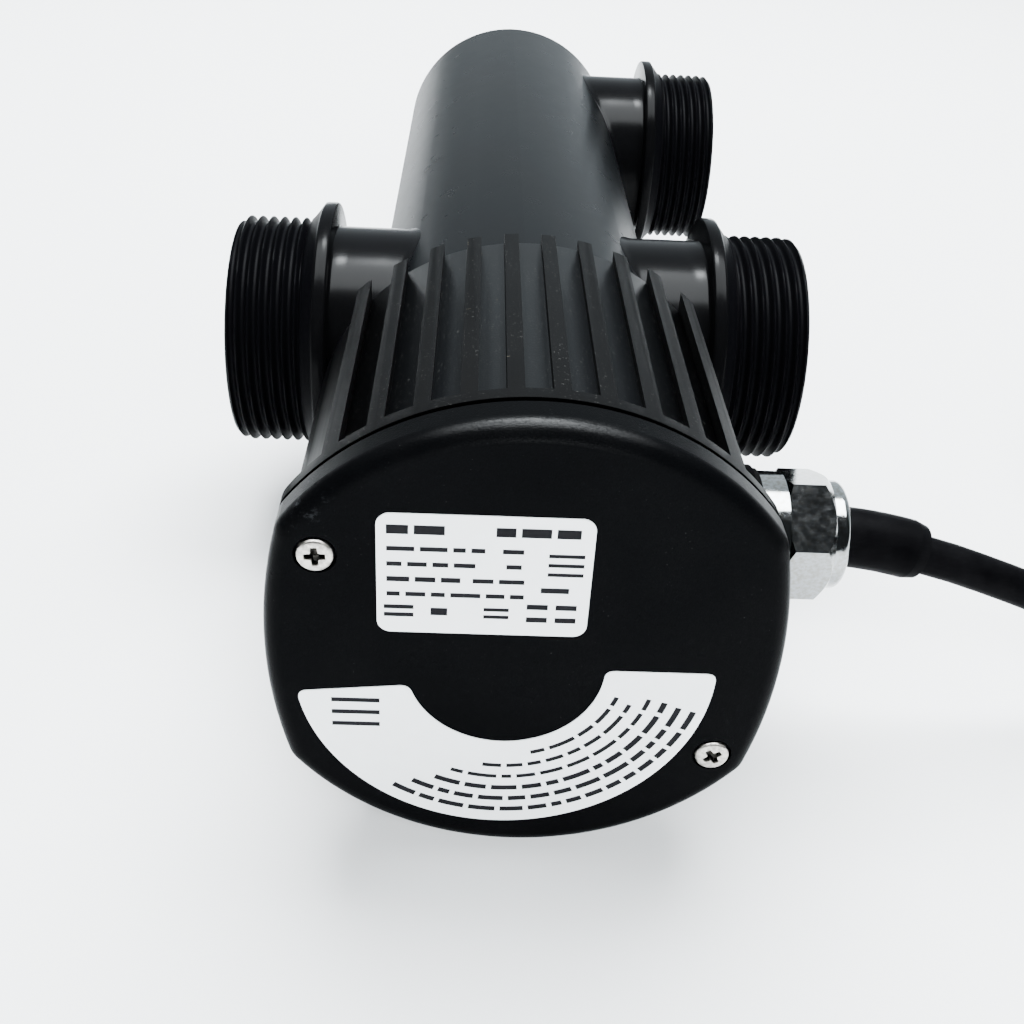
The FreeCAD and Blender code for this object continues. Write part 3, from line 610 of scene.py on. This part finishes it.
def add_screws():
    """Both cover screws as one piece, heads, cross recesses and shanks."""
    verts, faces = [], []
    around, rings = 120, 34
    for x, z, turn in HEADS:
        base = len(verts)
        verts.append((x, -0.45 + cross_depth(0, 0, turn), z))
        profile = []
        for i in range(1, rings + 1):
            r = HEAD_FLAT_R * i / rings
            profile.append((r, -0.5 + 0.10 * (r / HEAD_FLAT_R) ** 4))
        profile += [(2.42, -0.34), (2.55, -0.18), (2.63, 0.05), (2.65, 0.4), (2.65, 1.35), (1.45, 1.38), (1.45, 18.6)]
        for r, y in profile:
            for j in range(around):
                a = 2 * math.pi * j / around
                u, v = r * math.cos(a), r * math.sin(a)
                sunk = cross_depth(u, v, turn) if r < HEAD_FLAT_R else 0.0
                verts.append((x + u, y + sunk, z + v))
        tip = len(verts)
        verts.append((x, 19.0, z))
        count = len(profile)
        for j in range(around):
            k = (j + 1) % around
            faces.append((base, base + 1 + k, base + 1 + j))
            for i in range(count - 1):
                a, b = base + 1 + i * around, base + 1 + (i + 1) * around
                faces.append((a + j, a + k, b + k, b + j))
            last = base + 1 + (count - 1) * around
            faces.append((last + j, last + k, tip))
    screws = new_piece("cover_screw_pair", verts, faces, SCREW, 40.0)
    # Painted shade: faces deep in the cross recesses take the near-black recess metal.
    screws.data.materials.append(RECESS_SHADE)
    for face in screws.data.polygons:
        x, z, turn = HEADS[0] if face.center.x < 0 else HEADS[1]
        u, v = face.center.x / MM - x, face.center.z / MM - AXIS_Z - z
        deep = cross_depth(u, v, turn) if math.hypot(u, v) < 2.0 else 0.0
        face.material_index = 1 if deep > 0.25 else 0
    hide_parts("cover_screws")
    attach(screws, "cover")


add_screws()

# ---------------------------------------------------------------- lower label

LABEL_T = 0.15
LABEL_X = -2.8
OUTER_ARC = (LABEL_X, -2.5, 31.2)       # centre across, centre up, radius
INNER_ARC = (LABEL_X, -1.5, 14.7)
LABEL_CORNER = 1.5


def lower_label_outline():
    """A part ring: outer arc, left end, inner arc, right end, with its four corners rounded."""
    def on(arc, degrees):
        x, z, r = arc
        return (x + r * math.cos(math.radians(degrees)), z + r * math.sin(math.radians(degrees)))

    def eased(start, corner, end):
        curve = []
        for i in range(7):
            t = i / 6
            a, b, c = (1 - t) ** 2, 2 * t * (1 - t), t * t
            curve.append((a * start[0] + b * corner[0] + c * end[0], a * start[1] + b * corner[1] + c * end[1]))
        return curve

    def short_of(corner, other):
        reach = LABEL_CORNER / math.dist(corner, other)
        return (corner[0] + (other[0] - corner[0]) * reach, corner[1] + (other[1] - corner[1]) * reach)

    a, b = on(OUTER_ARC, -171.8), on(INNER_ARC, -165.3)     # the left end's corners
    c, d = on(INNER_ARC, 0.4), on(OUTER_ARC, 2.0)           # the right end's
    points = [on(OUTER_ARC, -0.8 - i * 2.1) for i in range(80)]
    points += eased(on(OUTER_ARC, -169.0), a, short_of(a, b)) + eased(short_of(b, a), b, on(INNER_ARC, -159.5))
    points += [on(INNER_ARC, -157.5 + i * 3.0) for i in range(51)]
    points += eased(on(INNER_ARC, -5.4), c, short_of(c, d)) + eased(short_of(d, c), d, on(OUTER_ARC, -0.4))
    return points


def add_lower_label():
    """The sheet itself, flat on the cover's face."""
    outline = lower_label_outline()
    n = len(outline)
    verts = [(x, -LABEL_T, z) for x, z in outline] + [(x, 0.0, z) for x, z in outline]
    faces = [tuple(range(n)), tuple(range(2 * n - 1, n - 1, -1))]
    faces += [(i, (i + 1) % n, n + (i + 1) % n, n + i) for i in range(n)]
    label = new_piece("lower_label_sheet", verts, faces, LABEL, 20.0)
    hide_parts("lower_label")
    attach(label, "cover")


add_lower_label()

# ---------------------------------------------------------------- neutral print on the labels

INK_TOP = -0.20
INK_BACK = -0.12
ARC_Z = -1.3                # height of the curved lines' centre
INK = plain("label_ink", (0.006, 0.006, 0.007), 0.6, 0.0, 0.2, 0.05)


def word_runs(start, end, seed, gap, shortest, longest):
    """Splits a line of print into plain dashes of uneven length."""
    runs = []
    place = start
    step = seed
    while place < end - shortest:
        step = (step * 37 + 11) % 101
        length = shortest + (longest - shortest) * step / 100.0
        stop = min(place + length, end)
        runs.append((place, stop))
        place = stop + gap
    return runs


def add_print():
    """Plain dashes where the labels' lines of print stand, all one piece."""
    verts, faces = [], []

    def dash(corners):
        n = len(corners)
        base = len(verts)
        verts.extend((x, INK_TOP, z) for x, z in corners)
        verts.extend((x, INK_BACK, z) for x, z in corners)
        faces.append(tuple(range(base, base + n)))
        faces.append(tuple(range(base + 2 * n - 1, base + n - 1, -1)))
        for i in range(n):
            k = (i + 1) % n
            faces.append((base + i, base + k, base + n + k, base + n + i))

    # height, thickness, seed, start, end, shortest and longest dash
    lines = [
        (22.9, 1.5, 3, -20.2, -9.4, 2.6, 4.6), (22.9, 1.5, 8, -5.2, 6.4, 2.6, 5.2),
        (19.7, 0.75, 21, -20.2, -6.6, 1.6, 4.4), (19.7, 0.75, 5, -4.2, -0.6, 1.8, 3.0),
        (17.1, 0.75, 33, -20.2, -6.4, 1.6, 4.2), (17.1, 0.75, 9, -3.6, -0.9, 1.8, 2.6),
        (14.5, 0.85, 47, -20.2, -9.9, 2.4, 4.8), (14.5, 0.75, 12, -8.2, -0.8, 1.8, 4.0),
        (11.9, 0.75, 60, -20.2, -0.9, 1.6, 4.6), (13.2, 0.9, 17, 1.4, 5.4, 4.0, 4.1),
        (8.9, 1.3, 25, -14.0, -8.8, 2.3, 2.6),
    ]
    lines += [(z, 0.9, 7, x, x + 3.0, 2.9, 3.2) for z in (10.2, 7.9) for x in (-0.4, 3.7)]
    lines += [(z, 0.7, 7, -20.6, -16.4, 4.1, 4.3) for z in (9.6, 8.2)]
    lines += [(z, 0.6, 7, -6.5, -2.9, 3.5, 3.7) for z in (9.5, 8.2)]
    lines += [(z, 0.6, 7, 2.2, 7.2, 4.9, 5.1) for z in (19.2, 17.6, 16.0)]
    lines += [(z, 0.8, 7, -28.6, -21.4, 7.1, 7.3) for z in (-8.4, -10.8, -13.2)]
    for z, tall, seed, start, end, short, long_run in lines:
        for a, b in word_runs(start, end, seed, 0.75, short, long_run):
            dash([(a, z - tall / 2), (b, z - tall / 2), (b, z + tall / 2), (a, z + tall / 2)])
    # radius, half thickness, seed, and the angles where the line starts and ends
    arcs = [(17.6, 0.36, 14, 285.0, 344.0), (20.0, 0.36, 31, 262.0, 345.0), (22.4, 0.36, 52, 250.0, 346.0)]
    arcs += [(24.9, 0.48, 73, 246.0, 346.0), (27.3, 0.48, 18, 240.0, 346.0), (29.7, 0.48, 40, 236.0, 345.0)]
    for radius, tall, seed, start, end in arcs:
        scale = 180.0 / (math.pi * radius)
        for a, b in word_runs(start / scale, end / scale, seed, 0.8, 1.5, 4.6):
            steps = 6
            inner, outer = [], []
            for i in range(steps + 1):
                angle = math.radians((a + (b - a) * i / steps) * scale)
                c, d = math.cos(angle), math.sin(angle)
                inner.append((LABEL_X + (radius - tall) * c, ARC_Z + (radius - tall) * d))
                outer.append((LABEL_X + (radius + tall) * c, ARC_Z + (radius + tall) * d))
            dash(outer + inner[::-1])
    ink = new_piece("label_print", verts, faces, INK, 20.0)
    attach(ink, "cover")


add_print()

# ---------------------------------------------------------------- floor and light


def add_floor():
    """A plain pale floor just under the object."""
    mesh = bpy.data.meshes.new("floor")
    half = 3.0
    mesh.from_pydata([(-half, -half, 0), (half, -half, 0), (half, half, 0), (-half, half, 0)], [], [(0, 1, 2, 3)])
    floor = bpy.data.objects.new("floor", mesh)
    floor.location.z = -0.0002
    bpy.context.scene.collection.objects.link(floor)
    s = Shader("floor_white", 0.9)
    s.color(s.mix(s.spread(s.noise(3.0, 2.0), 0.3, 0.7), (0.92, 0.925, 0.93), (0.94, 0.945, 0.95)))
    dress(floor, s.mat)


def add_light(name, place, aim, size, power, seen="both", tint=(0.93, 0.975, 1.0)):
    """A soft box; seen says whether it lights matt surfaces ("diffuse"), shows in glossy ones ("mirror") or both."""
    data = bpy.data.lights.new(name, "AREA")
    data.shape = "RECTANGLE"
    data.size = size[0]
    data.size_y = size[1]
    data.energy = power
    data.color = tint
    light = bpy.data.objects.new(name, data)
    light.location = place
    light.rotation_euler = (Vector(aim) - Vector(place)).to_track_quat("-Z", "Y").to_euler()
    light.visible_glossy = seen != "diffuse"
    light.visible_diffuse = seen != "mirror"
    bpy.context.scene.collection.objects.link(light)


def add_world():
    """Bright behind the object and dimmer on its left; dim above and in front, so that dark parts stay dark."""
    world = bpy.data.worlds.new("studio")
    world.use_nodes = True
    tree = world.node_tree
    place = tree.nodes.new("ShaderNodeTexCoord").outputs["Generated"]
    split = tree.nodes.new("ShaderNodeSeparateXYZ")
    tree.links.new(place, split.inputs[0])
    both = tree.nodes.new("ShaderNodeMath")
    both.operation = "MULTIPLY"
    ramps = (("Y", (-0.1, 0.75), (0.05, 1.4)), ("X", (-0.9, 0.6), (0.5, 1.15)))
    for factor, (axis, given, wanted) in zip(both.inputs, ramps):
        ramp = tree.nodes.new("ShaderNodeMapRange")
        ramp.inputs["From Min"].default_value, ramp.inputs["From Max"].default_value = given
        ramp.inputs["To Min"].default_value, ramp.inputs["To Max"].default_value = wanted
        tree.links.new(split.outputs[axis], ramp.inputs["Value"])
        tree.links.new(ramp.outputs["Result"], factor)
    background = tree.nodes["Background"]
    background.inputs["Color"].default_value = (0.84, 0.94, 1.0, 1.0)
    tree.links.new(both.outputs[0], background.inputs["Strength"])
    bpy.context.scene.world = world


add_floor()
add_world()
add_light("light_top", (0.06, 0.45, 1.1), (0.0, -0.05, 0.0), (1.3, 0.9), 95.0, "diffuse")
add_light("light_over", (0.06, 0.0, 1.1), (0.06, -0.01, 0.0), (1.3, 0.75), 110.0, "mirror")
add_light("light_left", (-1.0, 0.9, 0.6), (0.0, 0.0, 0.03), (0.6, 0.6), 0.6)
add_light("light_front", (0.1, -1.2, 0.8), (0.0, -0.2, 0.0), (1.2, 0.8), 46.0, "diffuse")
add_light("light_spark", (0.012, 0.24, 0.90), (0.0, -0.12, 0.07), (0.17, 0.12), 12.0, "mirror")
